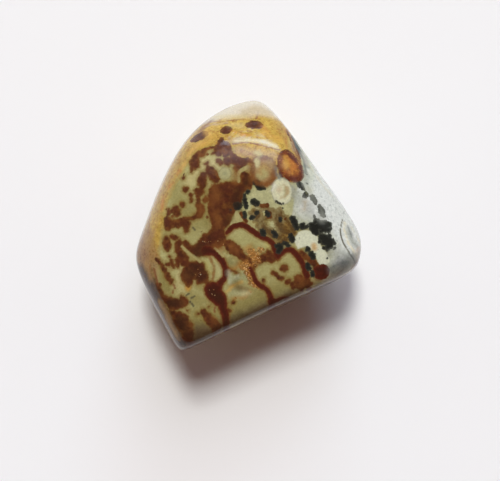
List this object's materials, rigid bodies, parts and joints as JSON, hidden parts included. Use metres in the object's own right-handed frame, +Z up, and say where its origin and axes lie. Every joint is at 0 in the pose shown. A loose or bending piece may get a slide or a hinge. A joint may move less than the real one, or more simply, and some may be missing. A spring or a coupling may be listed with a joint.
{
  "type": "tumbled porcelanite pebble",
  "caption": "Polished rounded wedge of patterned siliceous stone with a nearly flat broad face, resting on a small flat spot.",
  "frame": {"origin": "under the middle of the pebble's box, on the surface that its flat spot rests on", "axes": "+Z up out of the broad face, +Y towards the blunt tip, +X towards the sharp east corner"},
  "size_m": [0.0238, 0.0264, 0.0132],
  "materials": {
    "stone": "polished, olive-cream ground with brown mottling, white patches and black dots"
  },
  "bodies": {
    "root": {"stone": "stone"}
  },
  "joints": []
}
